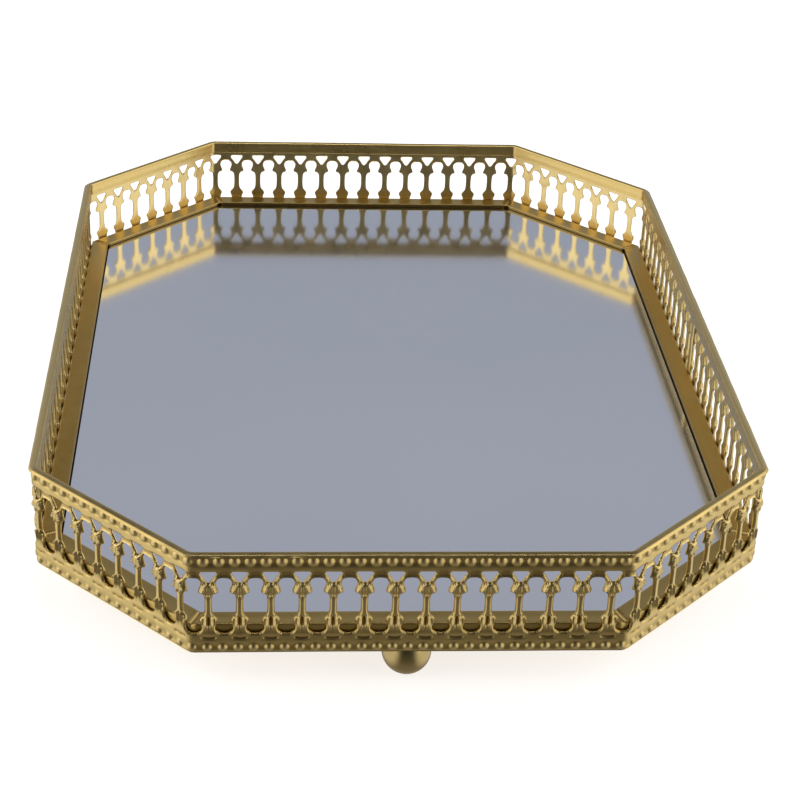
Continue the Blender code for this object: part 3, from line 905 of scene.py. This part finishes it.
def makeMirror(material):
    # rings of eight corners: foot, shoulder and top of the ground edge, closed below and above
    glassHeight = (tray["glassTop"] - tray["glassFoot"]) / mm
    rings = [(0.0, 0.0), (0.0, glassHeight - mirror["arrisDrop"]), (mirror["arris"], glassHeight)]
    corners = np.array([
        np.column_stack([planCorners(tray["glassInset"] + inset * mm),
                         np.full(8, tray["glassFoot"] + up * mm)]) for inset, up in rings])
    points = corners.transpose(1, 0, 2).reshape(-1, 3)
    faces = gridFaces(8, 3, True, False)
    top = np.arange(8)[None, :] * 3 + 2
    bottom = np.arange(8)[None, ::-1] * 3
    piece = newPiece("mirror_plate", points, [faces, top, bottom], material)
    piece.data.shade_flat()
    placePiece(piece, "mirror_silver", "mirror_glass")
    print("mirror: plate with a ground edge")


def mirrorFinish():
    # silvered glass: one even reflection, straight hairlines from noise that is stretched about thirty
    # to seventy times along one direction and cut off near its peaks, faint haze and a few small specks
    material, shader, add, link, vector = startMaterial("silvered_glass")

    def hairlines(turn, lengthwise, cut, shift):
        mapping = add("ShaderNodeMapping", vector_type="TEXTURE")
        mapping.inputs["Rotation"].default_value = (0, 0, turn)
        mapping.inputs["Scale"].default_value = (lengthwise * mm, mirror["scratchWidth"] * mm, 1)
        mapping.inputs["Location"].default_value = (shift, shift * 0.37, 0)
        link(vector, mapping.inputs["Vector"])
        streaks = noise(add, link, mapping.outputs["Vector"], 1.0, 0.0, 0.5)
        return shaped(add, link, streaks, cut, cut + mirror["scratchSoftness"], 0.0, 1.0)

    scratch = hairlines(*mirror["scratches"][0])
    for settings in mirror["scratches"][1:]:
        scratch = mathNode(add, link, "MAXIMUM", scratch, hairlines(*settings))
    spread = noise(add, link, vector, 22.0, 2.0, 0.5)
    scratch = mathNode(add, link, "MULTIPLY", scratch, shaped(add, link, spread, *mirror["scratchSpread"]))
    dust = add("ShaderNodeTexVoronoi", in_Scale=mirror["dotScale"])
    link(vector, dust.inputs["Vector"])
    dustMask = noise(add, link, vector, 55.0, 2.0, 0.5)
    dots = mathNode(add, link, "MULTIPLY",
                    shaped(add, link, dust.outputs["Distance"], *mirror["dotSize"], 0.0, 1.0),
                    shaped(add, link, dustMask, *mirror["dotSpread"], 0.0, 1.0))
    marks = mathNode(add, link, "MAXIMUM",
                     mathNode(add, link, "MULTIPLY", scratch, mirror["scratchStrength"]),
                     mathNode(add, link, "MULTIPLY", dots, mirror["dotStrength"]))
    haze = noise(add, link, vector, 9.0, 3.0, 0.5)
    silver = mixColor(add, link, shaped(add, link, haze, 0.3, 0.7, 0.0, 1.0),
                      mirror["silver"], mirror["haze"])
    link(mixColor(add, link, marks, silver, mirror["mark"]), shader.inputs["Base Color"])
    link(shaped(add, link, marks, 0.0, 1.0, *mirror["rough"]), shader.inputs["Roughness"])
    link(shaped(add, link, marks, 0.0, 1.0, *mirror["metal"]), shader.inputs["Metallic"])
    return material


foot = {"turns": 64, "ballSteps": 40, "ballRadius": 6.9, "flat": 1.5, "seat": 4.5, "seatHeight": 0.8,
        "bore": 1.8, "boreDepth": 6.0, "seatBreak": 0.15, "neckRise": 0.12, "sharpFrom": 50}


def footProfile(top):
    # (radius, height) in mm down the outside: blind bore, seat, ball and the small flat it stands on
    radius = foot["ballRadius"]
    center = math.sqrt(radius ** 2 - foot["flat"] ** 2)
    topTurn = math.degrees(math.acos(foot["seat"] / radius))
    flatTurn = -math.degrees(math.acos(foot["flat"] / radius))
    bore, seat, boreEnd = foot["bore"], foot["seat"], top - foot["boreDepth"]
    hole = np.array([[0, boreEnd], [bore, boreEnd], [bore, top], [seat - foot["seatBreak"], top],
                     [seat, top - foot["seatBreak"]],
                     [seat, top - foot["seatHeight"] + foot["neckRise"]]])
    ball = arcPoints(0, center, radius, topTurn, flatTurn, foot["ballSteps"])
    return np.concatenate([hole, ball, [[0.0, 0.0]]])


def makeFeet(material):
    # the profile turned about the foot's own axis
    for side in ("front", "right", "back", "left"):
        low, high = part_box("foot_" + side)
        profile = footProfile(high.z / mm)
        turn = np.linspace(0, 2 * math.pi, foot["turns"], endpoint=False)
        radius = profile[:, 0] * mm
        x = (low.x + high.x) / 2 + np.cos(turn)[:, None] * radius[None, :]
        y = (low.y + high.y) / 2 + np.sin(turn)[:, None] * radius[None, :]
        z = np.broadcast_to(profile[:, 1] * mm, x.shape)
        points = np.stack([x, y, z], axis=-1).reshape(-1, 3)
        faces = gridFaces(foot["turns"], len(profile), True, False)
        piece = newPiece("ball_foot_" + side, points, [faces], material)
        closeSeams(piece)
        piece.data.set_sharp_from_angle(angle=math.radians(foot["sharpFrom"]))
        placePiece(piece, "foot_gold", "foot_" + side)
    print("feet: four turned balls")


def finishNode(name, material):
    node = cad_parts[name]
    node.data.materials.clear()
    node.data.materials.append(material)


def boardFinish():
    # pressed brown fibre: short fibres from stretched noise, darker flecks
    material, shader, add, link, vector = startMaterial("pressed_board")
    mapping = add("ShaderNodeMapping")
    mapping.inputs["Scale"].default_value = (1, 0.2, 1)
    link(vector, mapping.inputs["Vector"])
    fibres = noise(add, link, mapping.outputs["Vector"], 900.0, 4.0, 0.7)
    flecks = noise(add, link, vector, 300.0, 2.0, 0.6)
    color = ramp(add, link, fibres, [(0.3, (0.17, 0.10, 0.055)), (0.7, (0.36, 0.24, 0.14))])
    color = mixColor(add, link, shaped(add, link, flecks, 0.62, 0.7, 0.0, 0.6), color, (0.09, 0.055, 0.03))
    link(color, shader.inputs["Base Color"])
    link(shaped(add, link, fibres, 0.3, 0.7, 0.92, 0.75), shader.inputs["Roughness"])
    bump = add("ShaderNodeBump", in_Strength=0.5)
    bump.inputs["Distance"].default_value = 0.06 * mm
    link(fibres, bump.inputs["Height"])
    link(bump.outputs["Normal"], shader.inputs["Normal"])
    return material


def zincFinish():
    # bright zinc with a turned, slightly streaky surface and dull patches
    material, shader, add, link, vector = startMaterial("zinc_plate")
    patches = noise(add, link, vector, 700.0, 3.0, 0.6)
    fine = noise(add, link, vector, 4200.0, 2.0, 0.5)
    link(ramp(add, link, patches, [(0.3, (0.42, 0.43, 0.44)), (0.7, (0.68, 0.68, 0.66))]),
         shader.inputs["Base Color"])
    link(shaped(add, link, patches, 0.3, 0.7, 0.45, 0.25), shader.inputs["Roughness"])
    shader.inputs["Metallic"].default_value = 1.0
    bump = add("ShaderNodeBump", in_Strength=0.3)
    bump.inputs["Distance"].default_value = 0.02 * mm
    link(fine, bump.inputs["Height"])
    link(bump.outputs["Normal"], shader.inputs["Normal"])
    return material


def finishNodes():
    under = satinGold("lacquered_floor", goldFinishes["flange"], None, 0.5)
    finishNode("floor_plate", under)
    finishNode("backing_board", boardFinish())
    zinc = zincFinish()
    for side in ("front", "right", "back", "left"):
        finishNode("foot_screw_" + side, zinc)
        finishNode("foot_washer_" + side, zinc)
    print("floor, board, screws and washers finished")


camera = {
    "place": (-0.04055, -0.60632, 0.33413),
    "azimuth": 4.4256, "down": 28.1318, "roll": 2.2847,     # degrees
    "lens": 92.71,
    "sensor": 36,             # mm
}


def makeCamera():
    azimuth, down, roll = (math.radians(camera[key]) for key in ("azimuth", "down", "roll"))
    forward = np.array([math.sin(azimuth) * math.cos(down), math.cos(azimuth) * math.cos(down),
                        -math.sin(down)])
    right = np.array([math.cos(azimuth), -math.sin(azimuth), 0])
    up = np.cross(right, forward)
    acrossView = right * math.cos(roll) + up * math.sin(roll)
    upView = -right * math.sin(roll) + up * math.cos(roll)
    data = bpy.data.cameras.new("view")
    data.lens = camera["lens"]
    data.sensor_width = camera["sensor"]
    view = bpy.data.objects.new("view", data)
    bpy.context.scene.collection.objects.link(view)
    turned = np.eye(4)
    turned[:3, 0], turned[:3, 1], turned[:3, 2], turned[:3, 3] = acrossView, upView, -forward, camera["place"]
    view.matrix_world = Matrix(turned.tolist())
    bpy.context.scene.camera = view


studioFloor = {"half": 6.0, "color": (0.9, 0.9, 0.9, 1), "rough": 0.9, "glow": 0.72}


def makeFloor():
    # one large square at height 0 that glows a little, so that it renders almost white
    size = studioFloor["half"]
    points = np.array([[-size, -size, 0], [size, -size, 0], [size, size, 0], [-size, size, 0]])
    material = bpy.data.materials.new("pale_floor")
    material.use_nodes = True
    shader = material.node_tree.nodes["Principled BSDF"]
    shader.inputs["Base Color"].default_value = studioFloor["color"]
    shader.inputs["Roughness"].default_value = studioFloor["rough"]
    shader.inputs["Specular IOR Level"].default_value = 0.0
    shader.inputs["Emission Color"].default_value = (1, 1, 1, 1)
    shader.inputs["Emission Strength"].default_value = studioFloor["glow"]
    floor = newPiece("studio_floor", points, [np.array([[0, 1, 2, 3]])], material)
    floor.visible_glossy = False


def softbox(name, place, target, width, height, watts, color):
    # an area light at place that faces target
    data = bpy.data.lights.new(name, "AREA")
    data.shape = "RECTANGLE"
    data.size, data.size_y = width, height
    data.energy = watts
    data.color = color
    light = bpy.data.objects.new(name, data)
    bpy.context.scene.collection.objects.link(light)
    back = np.array(place, float) - np.array(target, float)
    back /= np.linalg.norm(back)
    across = np.cross([0, 0, 1], back)
    across /= np.linalg.norm(across)
    turned = np.eye(4)
    turned[:3, 0], turned[:3, 1], turned[:3, 2], turned[:3, 3] = across, np.cross(back, across), back, place
    light.matrix_world = Matrix(turned.tolist())


warmWhite = (1.0, 0.985, 0.96)
lights = {
    # place, target, width, height, watts
    "left_box": ((-1.4, -0.35, 0.9), (0, 0, 0.02), 1.8, 1.5, 5),
    "right_box": ((1.4, -0.35, 0.9), (0, 0, 0.02), 1.8, 1.5, 5),
    "top_box": ((0, -0.09, 0.40), (0, 0.16, 0.31), 0.34, 0.12, 0.6),
}
room = {
    # colors by upward direction, from 0 straight down to 1 straight up
    "behind": [(0.20, (0.36, 0.34, 0.31)), (0.48, (0.38, 0.38, 0.38)), (0.56, (0.44, 0.46, 0.49)),
               (0.68, (0.33, 0.35, 0.40)), (0.75, (0.385, 0.395, 0.445)), (0.785, (0.38, 0.39, 0.44)),
               (0.84, (0.10, 0.10, 0.11)), (1.0, (0.06, 0.06, 0.065))],
    "nearSide": [(0.05, (0.26, 0.24, 0.21)), (0.25, (0.14, 0.13, 0.11)), (0.48, (0.09, 0.085, 0.08)),
                 (0.60, (0.05, 0.05, 0.05)), (1.0, (0.06, 0.06, 0.065))],
    "far": (-0.25, 0.35),
    "aside": (0.46, 0.80),
    "sides": (0.94, 0.92, 0.88),
}


def makeLight():
    # large soft boxes at both sides, a small one over the tray that only the far wall faces, and a room
    # that is white at the sides, pale and cool behind the tray and dim above and behind the camera
    for name, settings in lights.items():
        softbox(name, *settings, warmWhite)
    world = bpy.data.worlds.new("room")
    world.use_nodes = True
    bpy.context.scene.world = world
    add, link = nodeMaker(world)
    background = world.node_tree.nodes["Background"]
    direction = add("ShaderNodeTexCoord").outputs["Generated"]
    split = add("ShaderNodeSeparateXYZ")
    link(direction, split.inputs["Vector"])
    upward = shaped(add, link, split.outputs["Z"], -1.0, 1.0, 0.0, 1.0)
    behind = ramp(add, link, upward, room["behind"])
    nearSide = ramp(add, link, upward, room["nearSide"])
    far = shaped(add, link, split.outputs["Y"], *room["far"], 0.0, 1.0)
    around = mixColor(add, link, far, nearSide, behind)
    sideways = mathNode(add, link, "ABSOLUTE", split.outputs["X"], 0)
    aside = shaped(add, link, sideways, *room["aside"], 0.0, 1.0)
    around = mixColor(add, link, aside, around, room["sides"])
    link(around, background.inputs["Color"])
    bpy.context.scene.view_settings.view_transform = "Standard"


makeCamera()
makeFloor()
makeLight()
galleryMetal = satinGold("stamped_gold", goldFinishes["gallery"], "wearAndPaintedLight")
makeGallery(galleryMetal)
makeLap(galleryMetal)
makeRim(satinGold("rim_gold_satin", goldFinishes["rim"], "wearAndPaintedLight", 0.0))
makeFrame(satinGold("flange_gold", goldFinishes["flange"], "wearAndPaintedLight", 0.15))
makeMirror(mirrorFinish())
makeFeet(satinGold("foot_gold_satin", goldFinishes["foot"], None, 0.4))
finishNodes()
